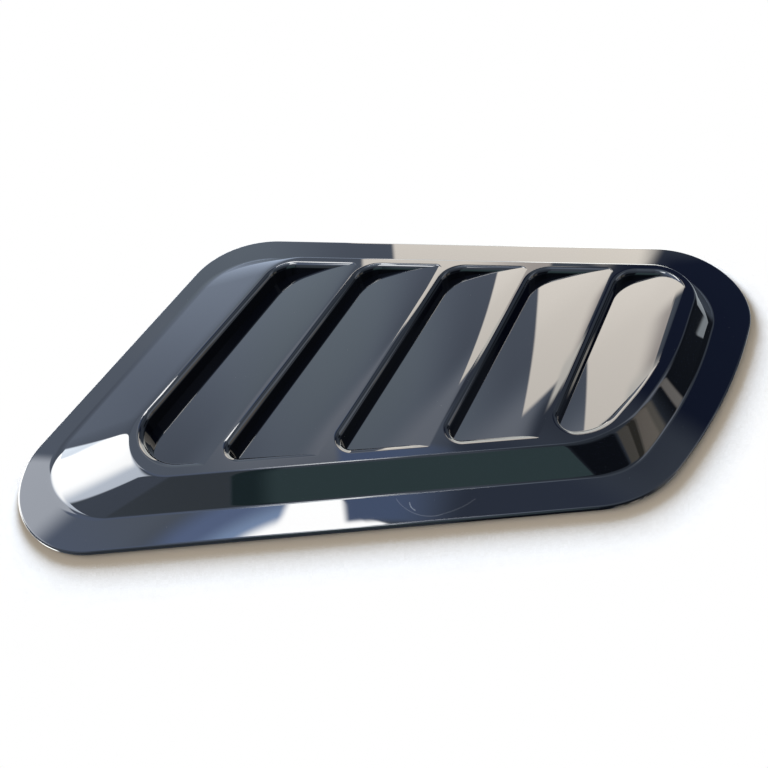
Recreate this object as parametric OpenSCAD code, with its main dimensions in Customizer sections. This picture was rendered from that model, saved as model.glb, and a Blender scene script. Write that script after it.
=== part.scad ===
// Side vent trim: a moulded stick-on louvre panel, one piece, open underneath.
// It lies on its flat rim. +Z is up, +X runs from the ramp to the nose, and the five louvre
// pockets sink into the raised top. Each closed outline is a ring of straight edges joined by
// arcs, and an edge is set by its heading and by its reach, the distance from the datum point
// to the edge at a right angle.

/* [Edge headings] */
// Heading of the front edges, in degrees from the X axis
front_heading = 5.3; // [0:0.1:12]
// Heading of the lower right edges
nose_heading = 46.5; // [35:0.1:55]
// Heading of the upper right edges
right_heading = 63.1; // [58:0.1:75]
// Fall of the back edges towards the right
back_fall = 1.7; // [0:0.1:6]
// Slant of the rim's left edge and of the ramp's foot
left_slant = 63.9; // [58:0.1:70]
// Slant of the louvres and of the ramp's top
louvre_slant = 62.4; // [57:0.1:68]

/* [Rim outline] */
// Reach of the rim's front edge
rim_front = 78.1; // [74:0.1:90]
// Reach of the rim's lower right edge
rim_nose = 134; // [131:0.1:142]
// Reach of the rim's upper right edge
rim_right = 160.2; // [157:0.1:168]
// Reach of the rim's back edge
rim_back = 101.2; // [97:0.1:110]
// Reach of the rim's left edge
rim_left = 130.2; // [127:0.1:142]
// Radius of the rim's lower right corner
rim_nose_r = 67; // [50:1:80]
// Radius of the long bend in the right side, shared by the rim and the wall's foot
side_bend_r = 360; // [200:5:420]
// Radius of the rim's upper right corner
rim_right_r = 42; // [30:1:50]
// Radius of the rim's upper left corner
rim_back_r = 50; // [35:1:70]
// Radius of the rim's lower left corner
rim_left_r = 37; // [28:1:48]
// Thickness of the rim
rim_t = 2.8; // [2:0.1:4]
// Radius of the rim's top edge
rim_edge_r = 1.1; // [0.5:0.1:1.6]

/* [Rim widths] */
// Width of the rim in front
rim_w_front = 15.2; // [11:0.1:18]
// Width of the rim at the lower right
rim_w_nose = 15.5; // [12:0.1:19]
// Width of the rim on the right
rim_w_right = 18.6; // [14:0.1:22]
// Width of the rim at the back
rim_w_back = 15.6; // [12:0.1:19]
// Width of the rim on the left
rim_w_left = 10.2; // [8:0.1:14]
// Radius of the wall's foot at the lower right corner
foot_nose_r = 54; // [40:1:64]
// Radius of the wall's foot at the upper right corner
foot_right_r = 33; // [24:1:42]
// Radius of the wall's foot at the upper left corner
foot_back_r = 44; // [30:1:60]
// Radius of the wall's foot at the lower left corner
foot_left_r = 28; // [20:1:36]

/* [Raised top] */
// Height of the top above the rim's face
top_rise = 13.7; // [11:0.1:18]
// Plan depth of the front wall
run_front = 10.7; // [7:0.1:13]
// Plan depth of the lower right wall
run_nose = 13.9; // [10:0.1:16]
// Plan depth of the right wall
run_right = 14.3; // [10:0.1:17]
// Plan depth of the back wall
run_back = 12; // [8:0.1:15]
// Plan depth of the ramp on the left
run_ramp = 32.7; // [28:0.1:38]
// Radius of the top's lower right corner
crest_nose_r = 66; // [50:1:75]
// Radius of the long bend in the top's right side
crest_bend_r = 218; // [150:1:300]
// Radius of the top's upper right corner
crest_right_r = 19; // [12:1:26]
// Radius of the top's upper left corner
crest_back_r = 25; // [20:1:36]
// Radius of the top's lower left corner
crest_left_r = 22; // [14:0.5:26]
// Share of the wall that curves into the rim
foot_blend = 0.07; // [0.03:0.01:0.12]
// Share of the wall that curves into the top
crest_blend = 0.13; // [0.05:0.01:0.2]
// Share of the wall's plan depth over which the same curve goes on into the top
crest_overrun = 0.06; // [0.03:0.01:0.1]

/* [Louvre pockets] */
// Number of pockets
pockets = 5; // [3:1:5]
// Spacing of the pockets, at a right angle to them
pitch = 42.1; // [40:0.1:43]
// Margin between the ramp's top and the first pocket
margin_ramp = 1; // [0.5:0.1:2.5]
// Margin between the front wall and the pockets
margin_front = 4.2; // [3:0.1:6]
// Margin between the back wall and the pockets
margin_back = 3.1; // [2:0.1:5]
// Margin between the right wall and the last pocket
margin_right = 5; // [3.5:0.1:7]
// Flat land between one blade and the next pocket's lip
land = 0.5; // [0.2:0.1:1.5]
// Drop of a blade's low side below the top
blade_drop = 8; // [6:0.1:9]
// Drop of the first blade's low side
first_blade_drop = 9.4; // [7:0.1:10.2]
// Bulge of the blades, where 1 is flat
blade_bulge = 1.3; // [1:0.05:1.6]
// Width of the last blade, which ends at the right wall's margin
last_blade_w = 37.5; // [33:0.1:39]
// Radius of the rounded lip along every pocket
lip_r = 3.3; // [2:0.1:3.8]
// Draft of the pocket walls
pocket_draft = 12; // [5:1:18]
// Radius of a pocket's sharp front corner
pocket_front_r = 8.2; // [6.5:0.1:11]
// Radius of the first pocket's front corner
first_front_r = 21; // [14:0.5:26]
// Radius of the last pocket's front corner
last_front_r = 9.5; // [7:0.1:12]
// Radius of the last pocket's corner at the nose
last_nose_r = 30; // [20:1:40]
// Radius of a pocket's back corner
pocket_back_r = 19; // [12:0.5:24]

/* [Shell] */
// Wall thickness
wall = 2.5; // [1.8:0.1:3]

/* [Fineness] */
// Angle of one facet round an outline's corner
corner_step = 6; // [4:1:12]
// Facets round each small edge
edge_steps = 5; // [3:1:8]
// Facets across each blade
blade_steps = 10; // [6:1:16]

/* [Hidden] */

// Clearance by which a cutting solid passes the face that it cuts
past = 1;
// Smallest radius left where an inner ring's corner closes up
least_r = 0.5;
top_z = rim_t + top_rise;
pocket_slope = 90 - pocket_draft;
// Long enough to pass both ends of every louvre
over_length = 2 * (rim_front + rim_back);

// Rings run anticlockwise: front, nose, right, back and left edge, with a corner after each.
headings = [front_heading, nose_heading, right_heading, 180 - back_fall, 180 + left_slant];
crest_headings = [front_heading, nose_heading, right_heading, 180 - back_fall, 180 + louvre_slant];
rim_reach = [rim_front, rim_nose, rim_right, rim_back, rim_left];
rim_w = [rim_w_front, rim_w_nose, rim_w_right, rim_w_back, rim_w_left];
runs = [run_front, run_nose, run_right, run_back, run_ramp];
rim_radii = [rim_nose_r, side_bend_r, rim_right_r, rim_back_r, rim_left_r];
foot_radii = [foot_nose_r, side_bend_r, foot_right_r, foot_back_r, foot_left_r];
crest_radii = [crest_nose_r, crest_bend_r, crest_right_r, crest_back_r, crest_left_r];
foot_reach = rim_reach - rim_w;
crest_reach = foot_reach - runs;
undrawn = 0 * runs;
FRONT = 0;
NOSE = 1;
RIGHT = 2;
BACK = 3;
LEFT = 4;

// The direction across the louvres is that of increasing lip distance.
first_lip = margin_ramp - crest_reach[LEFT];
function lip_at(i) = first_lip + i * pitch;
function blade_end(i) = i == pockets - 1 ? lip_at(i) + last_blade_w : lip_at(i + 1) - land;
function drop_of(i) = i == 0 ? first_blade_drop : blade_drop;
function front_r_of(i) =
    i == 0 ? first_front_r :
    i == pockets - 1 ? last_front_r :
    pocket_front_r;

// Outward normal of an edge with this heading
function outward(heading) = [sin(heading), -cos(heading)];

// Point where two edges meet
function meeting(h1, d1, h2, d2) =
    let (a = outward(h1), b = outward(h2), det = a.x * b.y - a.y * b.x)
    [(d1 * b.y - d2 * a.y) / det, (a.x * d2 - b.x * d1) / det];

// Turn from one edge to the next
function turn_after(h, i) = i < len(h) - 1 ? h[i + 1] - h[i] : h[0] + 360 - h[i];

// Radii r limited so that the arcs at both ends of an edge fit on it, where c are the corners
function fitted_radii(h, c, r) =
    let (n = len(h), reach = [for (i = [0 : n - 1]) max(r[i], least_r) * tan(turn_after(h, i) / 2)])
    let (fill = [for (i = [0 : n - 1])
        (reach[(i + n - 1) % n] + reach[i]) / norm(c[i] - c[(i + n - 1) % n])])
    [for (i = [0 : n - 1]) max(r[i], least_r) / max(1, fill[i], fill[(i + 1) % n])];

// Closed ring of edges with headings h and reaches d, where corner i after edge i has radius r[i]
function ring(h, d, r) =
    let (last = len(h) - 1)
    let (corners = [for (i = [0 : last]) meeting(h[i], d[i], h[(i + 1) % len(h)], d[(i + 1) % len(h)])])
    let (radii = fitted_radii(h, corners, r))
    [
        for (i = [0 : last])
            let (j = (i + 1) % len(h), turn = turn_after(h, i), n = ceil(turn / corner_step))
            let (centre = meeting(h[i], d[i] - radii[i], h[j], d[j] - radii[i]))
            for (k = [0 : n])
                centre + radii[i] * outward(h[i] + turn * k / n)
    ];

// The same ring drawn in by one distance all round
function inset(h, d, r, by) = ring(h, [for (v = d) v - by], [for (v = r) v - by]);

// Ring of the wall at a share of its rise, drawn in by a list of distances
function wall_ring(share, draw = undrawn) = ring(
    headings + share * (crest_headings - headings),
    foot_reach + share * (crest_reach - foot_reach) - draw,
    [for (i = [0 : len(headings) - 1])
        foot_radii[i] + share * (crest_radii[i] - foot_radii[i]) - min(draw)]
);

// Quadratic blend between two shares of the wall, as [share along the run, share of the rise]
function blend(a, corner, b) = [
    for (k = [0 : edge_steps])
        let (t = k / edge_steps)
        (1 - t) * (1 - t) * a + 2 * t * (1 - t) * corner + t * t * b
];

wall_profile = concat(
    blend([-foot_blend, 0], [0, 0], [foot_blend, foot_blend]),
    blend([1 - crest_blend, 1 - crest_blend], [1, 1], [1 + crest_overrun, 1])
);

// Puts a ring at a height
function at_height(points, z) = [for (p = points) [p.x, p.y, z]];

// Solid through a stack of convex rings, one layer between each two
module loft(rings) {
    for (i = [0 : len(rings) - 2]) {
        layer = concat(rings[i], rings[i + 1]);
        hull()
            polyhedron(layer, [[for (k = [0 : len(layer) - 1]) k]]);
    }
}

module rim_plate() {
    straight = rim_t - rim_edge_r;
    loft([
        at_height(ring(headings, rim_reach, rim_radii), 0),
        for (k = [0 : edge_steps])
            let (a = 90 * k / edge_steps)
            at_height(inset(headings, rim_reach, rim_radii, rim_edge_r * (1 - cos(a))),
                straight + rim_edge_r * sin(a))
    ]);
}

module raised_top() {
    loft([
        at_height(wall_ring(-foot_blend), 0),
        for (p = wall_profile)
            at_height(wall_ring(p[0]), rim_t + top_rise * p[1])
    ]);
}

// Headings, reaches and corner radii of pocket i at the top's face
function pocket_headings(i) =
    i == pockets - 1 ? crest_headings :
    [front_heading, louvre_slant, 180 - back_fall, 180 + louvre_slant];
function pocket_reach(i) =
    let (front = crest_reach[FRONT] - margin_front, back = crest_reach[BACK] - margin_back)
    i == pockets - 1 ?
        [front, crest_reach[NOSE] - margin_right, crest_reach[RIGHT] - margin_right, back, -lip_at(i)] :
        [front, lip_at(i + 1), back, -lip_at(i)];
function pocket_radii(i) =
    i == pockets - 1 ?
        [last_nose_r, crest_bend_r - margin_right, crest_right_r - margin_right, pocket_back_r, front_r_of(i)] :
        [lip_r, lip_r, pocket_back_r, front_r_of(i)];
function pocket_ring(i, by) = inset(pocket_headings(i), pocket_reach(i), pocket_radii(i), by);

// How far a pocket's wall has come in at a depth below the lip's curve
function wall_in(depth) =
    lip_r * sin(pocket_slope) + (depth - lip_r * (1 - cos(pocket_slope))) * tan(pocket_draft);

// Section of the space over a blade, across the louvres, sunk by a thickness
module blade_section(i, sunk) {
    start = lip_at(i);
    end = blade_end(i);
    over_z = top_z + 2 * past;
    curve = [
        for (k = [0 : blade_steps])
            let (t = k / blade_steps)
            [start + t * (end - start), top_z - sunk - drop_of(i) * pow(1 - t, blade_bulge)]
    ];
    polygon(concat(
        [[start - pitch, top_z - sunk - drop_of(i)]],
        curve,
        [[end, over_z], [start - pitch, over_z]]
    ));
}

// Space over blade i, as long as the top
module over_blade(i, sunk) {
    rotate([0, 0, louvre_slant - 90])
        rotate([90, 0, 0])
            linear_extrude(height = over_length, center = true)
                blade_section(i, sunk);
}

// The pocket as it is seen: a rounded lip, drafted walls and the blade for a floor
module pocket(i) {
    floor_depth = drop_of(i) + past;
    intersection() {
        loft([
            at_height(pocket_ring(i, wall_in(floor_depth)), top_z - floor_depth),
            for (k = [edge_steps : -1 : 0])
                let (a = pocket_slope * k / edge_steps)
                at_height(pocket_ring(i, lip_r * sin(a)), top_z - lip_r * (1 - cos(a))),
            at_height(pocket_ring(i, 0), top_z + past)
        ]);
        over_blade(i, 0);
    }
}

// The pocket's own wall and floor, as a solid that stays when the inside is hollowed
module pocket_shell(i) {
    depth = drop_of(i) + wall + past;
    side = wall / cos(pocket_draft);
    intersection() {
        loft([
            at_height(pocket_ring(i, wall_in(depth) - side), top_z - depth),
            at_height(pocket_ring(i, wall_in(0) - side), top_z)
        ]);
        over_blade(i, wall);
    }
}

// Distance between a slanting wall's two faces, measured in plan
function wall_in_plan(run) = wall * sqrt(1 + pow(run / top_rise, 2));

module hollow() {
    draw = [for (run = runs) wall_in_plan(run)];
    difference() {
        loft([
            for (z = [-past, top_z - wall])
                at_height(wall_ring((z - rim_t) / top_rise, draw), z)
        ]);
        for (i = [0 : pockets - 1])
            pocket_shell(i);
    }
}

module vent_trim() {
    outline = ring(headings, rim_reach, rim_radii);
    xs = [for (p = outline) p.x];
    ys = [for (p = outline) p.y];
    color("#0c0e14")
        translate([-(min(xs) + max(xs)) / 2, -(min(ys) + max(ys)) / 2, 0])
            difference() {
                union() {
                    rim_plate();
                    raised_top();
                }
                hollow();
                for (i = [0 : pockets - 1])
                    pocket(i);
            }
}

vent_trim();
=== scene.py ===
"""A gloss black side vent trim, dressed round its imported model.

The trim is one plastic moulding: a flat rim, a raised panel with a long ramp, and a row of
slanted louvre pockets. Its visible skin is built here from rings, closed outlines of straight
edges joined by arcs, with the same sizes as the model's own source, and its underside is the
model's own. Sizes are in millimetres, and the finished mesh is in metres.
"""

import logging
import math
from collections.abc import Callable
from dataclasses import dataclass
from enum import Enum, IntEnum

import bmesh
import bpy
import numpy as np
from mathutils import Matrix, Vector
from mathutils.geometry import delaunay_2d_cdt


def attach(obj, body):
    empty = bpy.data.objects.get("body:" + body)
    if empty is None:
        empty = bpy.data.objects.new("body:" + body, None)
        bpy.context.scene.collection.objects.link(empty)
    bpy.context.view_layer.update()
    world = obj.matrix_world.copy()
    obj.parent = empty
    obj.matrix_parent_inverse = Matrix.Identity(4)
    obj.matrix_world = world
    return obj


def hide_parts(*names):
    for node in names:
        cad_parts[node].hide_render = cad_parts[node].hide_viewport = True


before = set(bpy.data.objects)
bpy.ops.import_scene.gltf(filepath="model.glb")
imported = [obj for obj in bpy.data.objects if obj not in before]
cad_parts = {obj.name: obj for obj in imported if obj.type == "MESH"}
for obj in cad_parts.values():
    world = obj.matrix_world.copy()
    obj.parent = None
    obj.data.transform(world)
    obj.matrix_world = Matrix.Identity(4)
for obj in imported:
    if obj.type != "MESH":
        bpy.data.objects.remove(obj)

log = logging.getLogger("vent_trim")

Lift = Callable[[np.ndarray], tuple[np.ndarray, np.ndarray]]

MM = 0.001
NODE = "vent_trim"
BODY = "root"
UP = np.array([0.0, 0.0, 1.0])


class Edge(IntEnum):
    """The edges of an outline, anticlockwise from the long front one."""

    FRONT = 0
    NOSE = 1
    RIGHT = 2
    BACK = 3
    LEFT = 4


class Surface(Enum):
    """The two faces of the moulding, in the order of the piece's materials."""

    OUTSIDE = 0
    INSIDE = 1


def outward(heading: float) -> np.ndarray:
    """Gives the outward normal of an edge with this heading in degrees."""
    angle = math.radians(heading)
    return np.array([math.sin(angle), -math.cos(angle)])


def meeting(first: float, reach: float, second: float, other: float) -> np.ndarray:
    """Finds where two edges meet.

    Args:
        first: Heading of the first edge, in degrees.
        reach: Distance of the first edge from the datum point.
        second: Heading of the second edge.
        other: Distance of the second edge from the datum point.

    Returns:
        The point, in plan.
    """
    a, b = outward(first), outward(second)
    det = a[0] * b[1] - a[1] * b[0]
    return np.array([(reach * b[1] - other * a[1]) / det, (a[0] * other - b[0] * reach) / det])


@dataclass(frozen=True)
class Stations:
    """Points along an outline, each with its outward normal in plan."""

    points: np.ndarray
    normals: np.ndarray

    def at_height(self, z: float, drawn_in: float = 0.0) -> np.ndarray:
        """Gives the points in space, drawn in along their normals, at one height."""
        plan = self.points - drawn_in * self.normals
        return np.column_stack([plan, np.full(len(plan), z)])

    def aims(self) -> np.ndarray:
        """Gives the outward normals in space."""
        return np.column_stack([self.normals, np.zeros(len(self.normals))])


@dataclass(frozen=True)
class Ring:
    """A closed outline of straight edges, where an arc follows each edge."""

    headings: tuple[float, ...]
    reaches: tuple[float, ...]
    radii: tuple[float, ...]

    def stations(self, arc_steps: tuple[int, ...], edge_steps: tuple[int, ...]) -> Stations:
        """Places points round the ring.

        Args:
            arc_steps: Steps round each corner.
            edge_steps: Steps along each edge, counted from the edge after the first corner.

        Returns:
            The points and their normals, the same number on any ring with these steps.
        """
        count = len(self.headings)
        points: list[np.ndarray] = []
        normals: list[np.ndarray] = []
        for i in range(count):
            j = (i + 1) % count
            start, radius = self.headings[i], self.radii[i]
            turn = (self.headings[j] - start) % 360
            centre = meeting(start, self.reaches[i] - radius, self.headings[j], self.reaches[j] - radius)
            for k in range(arc_steps[i] + 1):
                normal = outward(start + turn * k / arc_steps[i])
                points.append(centre + radius * normal)
                normals.append(normal)
        marks = np.cumsum([steps + 1 for steps in arc_steps])
        plan: list[np.ndarray] = []
        facing: list[np.ndarray] = []
        for i in range(count):
            begin = 0 if i == 0 else marks[i - 1]
            plan += points[begin:marks[i]]
            facing += normals[begin:marks[i]]
            a, b = points[marks[i] - 1], points[marks[i] % len(points)]
            for k in range(1, edge_steps[i]):
                plan.append(a + (b - a) * k / edge_steps[i])
                facing.append(normals[marks[i] - 1])
        return Stations(np.array(plan), np.array(facing))


class Wiring:
    """Adds nodes to one tree and feeds their sockets as they are added."""

    def __init__(self, tree: bpy.types.NodeTree) -> None:
        """Keeps the tree that the nodes go into."""
        self.tree = tree

    def feed(self, socket: bpy.types.NodeSocket, value: object) -> None:
        """Links a socket to another, or sets its value, and leaves it alone for None."""
        if isinstance(value, bpy.types.NodeSocket):
            self.tree.links.new(value, socket)
        elif value is not None:
            socket.default_value = value

    def add(self, kind: str, *values: object, **settings: object) -> bpy.types.Node:
        """Adds one node.

        Args:
            kind: Blender's name for the node's type.
            values: What each input takes in order, a socket, a number or None.
            settings: The node's own properties, such as its operation.

        Returns:
            The new node.
        """
        node = self.tree.nodes.new(kind)
        for name, setting in settings.items():
            setattr(node, name, setting)
        for socket, value in zip(node.inputs, values):
            self.feed(socket, value)
        return node

    def sum(self, operation: str, *values: object) -> bpy.types.NodeSocket:
        """Adds a Math node and gives its result."""
        return self.add("ShaderNodeMath", *values, operation=operation).outputs[0]

    def vector(self, operation: str, *values: object) -> bpy.types.NodeSocket:
        """Adds a Vector Math node and gives its vector."""
        return self.add("ShaderNodeVectorMath", *values, operation=operation).outputs[0]

    def scaled(self, vector: object, by: object) -> bpy.types.NodeSocket:
        """Gives a vector multiplied by a number."""
        node = self.add("ShaderNodeVectorMath", vector, operation="SCALE")
        self.feed(node.inputs["Scale"], by)
        return node.outputs[0]

    def bump(self, height: object) -> bpy.types.NodeSocket:
        """Turns a height in metres into a normal."""
        node = self.add("ShaderNodeBump")
        node.inputs["Distance"].default_value = 1.0
        self.feed(node.inputs["Height"], height)
        return node.outputs[0]

    def mix(self, share: object, first: object, second: object) -> bpy.types.NodeSocket:
        """Mixes two colours, each a socket or three numbers."""
        node = self.tree.nodes.new("ShaderNodeMix")
        node.data_type = "RGBA"
        kinds = {socket.identifier: socket for socket in node.inputs}
        self.feed(kinds["Factor_Float"], share)
        for name, colour in (("A_Color", first), ("B_Color", second)):
            self.feed(kinds[name], colour if isinstance(colour, bpy.types.NodeSocket) else (*colour, 1.0))
        return {socket.identifier: socket for socket in node.outputs}["Result_Color"]


def new_finish(name: str) -> tuple[bpy.types.Material, Wiring]:
    """Makes a material with an empty tree, and the wiring that fills it."""
    made = bpy.data.materials.new(name)
    made.use_nodes = True
    made.node_tree.nodes.clear()
    return made, Wiring(made.node_tree)


class SweepTree:
    """A Geometry Nodes tree that sweeps a section along open or closed chains of stations."""

    name = "sweep"
    sizes: tuple[str, ...] = ()

    def __init__(self) -> None:
        """Makes the tree and its named inputs, and lets the class shape the section."""
        self.tree = bpy.data.node_groups.new(self.name, "GeometryNodeTree")
        face = self.tree.interface
        face.new_socket("Chains", in_out="INPUT", socket_type="NodeSocketGeometry")
        steps = face.new_socket("Steps", in_out="INPUT", socket_type="NodeSocketInt")
        steps.min_value = 2
        for size in self.sizes:
            face.new_socket(size, in_out="INPUT", socket_type="NodeSocketFloat")
        face.new_socket("Material", in_out="INPUT", socket_type="NodeSocketMaterial")
        face.new_socket("Skin", in_out="OUTPUT", socket_type="NodeSocketGeometry")
        self.wiring = Wiring(self.tree)
        self.given = self.tree.nodes.new("NodeGroupInput").outputs
        place, aim = self.section(self.progress_attribute())
        self.finish(place, aim)

    def named(self, attribute: str, kind: str = "FLOAT_VECTOR") -> bpy.types.NodeSocket:
        """Reads one of the chains' own attributes."""
        node = self.wiring.add("GeometryNodeInputNamedAttribute", attribute, data_type=kind)
        return node.outputs[0]

    def progress_attribute(self) -> bpy.types.NodeSocket:
        """Sweeps a line of steps along the chains and gives the share that each point has gone."""
        wiring = self.wiring
        chains = wiring.add("GeometryNodeMeshToCurve", self.given["Chains"]).outputs[0]
        line = wiring.add("GeometryNodeCurvePrimitiveLine", (0, 0, 0), (0, 0, MM))
        steps = wiring.add("GeometryNodeResampleCurve", line.outputs[0])
        wiring.feed(steps.inputs["Count"], self.given["Steps"])
        share = wiring.add("GeometryNodeSplineParameter").outputs["Factor"]
        marked = wiring.add("GeometryNodeStoreNamedAttribute", steps.outputs[0], data_type="FLOAT",
                            domain="POINT")
        marked.inputs["Name"].default_value = "progress"
        wiring.feed(marked.inputs["Value"], share)
        self.swept = wiring.add("GeometryNodeCurveToMesh", chains, marked.outputs[0]).outputs[0]
        return self.named("progress", "FLOAT")

    def section(self, progress: bpy.types.NodeSocket) -> tuple[bpy.types.NodeSocket, bpy.types.NodeSocket]:
        """Gives the place and the surface normal at a share of the section."""
        raise NotImplementedError

    def finish(self, place: bpy.types.NodeSocket, aim: bpy.types.NodeSocket) -> None:
        """Puts the swept points in place, keeps their normals, and dresses the skin."""
        wiring = self.wiring
        kept = wiring.add("GeometryNodeStoreNamedAttribute", self.swept, data_type="FLOAT_VECTOR",
                          domain="POINT")
        kept.inputs["Name"].default_value = "aim"
        wiring.feed(kept.inputs["Value"], aim)
        moved = wiring.add("GeometryNodeSetPosition", kept.outputs[0])
        wiring.feed(moved.inputs["Position"], place)
        real = wiring.add("GeometryNodeRealizeInstances", moved.outputs[0])
        dressed = wiring.add("GeometryNodeSetMaterial", real.outputs[0])
        wiring.feed(dressed.inputs["Material"], self.given["Material"])
        wiring.add("NodeGroupOutput", dressed.outputs[0])

    def swept_mesh(self, chains: bpy.types.Mesh, inputs: dict[str, object]) -> bpy.types.Mesh:
        """Runs the tree on chains of stations.

        Args:
            chains: Vertices and edges with the attributes that the section reads.
            inputs: A value for each named input.

        Returns:
            The swept skin as a plain mesh.
        """
        carrier = bpy.data.objects.new(self.name, chains)
        bpy.context.scene.collection.objects.link(carrier)
        modifier = carrier.modifiers.new(self.name, "NODES")
        modifier.node_group = self.tree
        for socket in self.tree.interface.items_tree:
            if socket.in_out == "INPUT" and socket.name in inputs:
                modifier[socket.identifier] = inputs[socket.name]
        depsgraph = bpy.context.evaluated_depsgraph_get()
        mesh = bpy.data.meshes.new_from_object(
            carrier.evaluated_get(depsgraph), preserve_all_data_layers=True, depsgraph=depsgraph)
        carrier.modifiers.remove(modifier)
        bpy.data.objects.remove(carrier)
        return mesh


class BlendedWall(SweepTree):
    """Joins three outlines by a quadratic curve that leaves the first and reaches the third."""

    name = "blended_wall"

    def section(self, progress: bpy.types.NodeSocket) -> tuple[bpy.types.NodeSocket, bpy.types.NodeSocket]:
        """Follows the curve from begin to end, which leans on bend."""
        wiring = self.wiring
        begin, bend, end = (self.named(name) for name in ("begin", "bend", "end"))
        left = wiring.sum("SUBTRACT", 1.0, progress)
        out, back = wiring.vector("SUBTRACT", bend, begin), wiring.vector("SUBTRACT", end, bend)
        slope = wiring.vector("ADD", wiring.scaled(out, left), wiring.scaled(back, progress))
        twice = wiring.sum("MULTIPLY", wiring.sum("MULTIPLY", left, progress), 2.0)
        place = wiring.vector(
            "ADD",
            wiring.scaled(begin, wiring.sum("MULTIPLY", left, left)),
            wiring.vector(
                "ADD",
                wiring.scaled(bend, twice),
                wiring.scaled(end, wiring.sum("MULTIPLY", progress, progress))))
        aim = wiring.vector("NORMALIZE", wiring.vector("CROSS_PRODUCT", self.named("way"), slope))
        return place, aim


class RolledWall(SweepTree):
    """Rolls over a rounded lip and runs on down a drafted wall, by each station's own fall."""

    name = "rolled_wall"
    sizes = ("Lip radius", "Draft")

    def section(self, progress: bpy.types.NodeSocket) -> tuple[bpy.types.NodeSocket, bpy.types.NodeSocket]:
        """Follows the lip's arc and then the straight wall."""
        wiring = self.wiring
        radius, draft = self.given["Lip radius"], self.given["Draft"]
        way, seat = self.named("way"), self.named("seat")
        run = wiring.sum("MULTIPLY", progress, self.named("fall", "FLOAT"))
        steepest = wiring.sum("SUBTRACT", math.pi / 2, draft)
        angle = wiring.sum("MINIMUM", wiring.sum("DIVIDE", run, radius), steepest)
        beyond = wiring.sum("SUBTRACT", run, wiring.sum("MULTIPLY", angle, radius))
        sine, cosine = wiring.sum("SINE", angle), wiring.sum("COSINE", angle)
        over = wiring.sum("ADD", wiring.sum("MULTIPLY", radius, sine),
                          wiring.sum("MULTIPLY", beyond, wiring.sum("SINE", draft)))
        turned = wiring.sum("MULTIPLY", radius, wiring.sum("SUBTRACT", 1.0, cosine))
        down = wiring.sum("ADD", turned, wiring.sum("MULTIPLY", beyond, wiring.sum("COSINE", draft)))
        sunk = wiring.vector("SUBTRACT", seat, wiring.scaled((0.0, 0.0, 1.0), down))
        place = wiring.vector("ADD", sunk, wiring.scaled(way, over))
        aim = wiring.vector("ADD", wiring.scaled(way, sine), wiring.scaled((0.0, 0.0, 1.0), cosine))
        return place, aim


def enclosed(points: np.ndarray, loop: np.ndarray) -> np.ndarray:
    """Says which points in plan lie inside a closed outline of any shape."""
    a, b = loop, np.roll(loop, -1, axis=0)
    x, y = points[:, :1], points[:, 1:]
    spans = (a[:, 1] > y) != (b[:, 1] > y)
    rise = np.where(a[:, 1] == b[:, 1], 1.0, b[:, 1] - a[:, 1])
    crossing = a[:, 0] + (b[:, 0] - a[:, 0]) * (y - a[:, 1]) / rise
    return (spans & (x < crossing)).sum(axis=1) % 2 == 1


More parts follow.
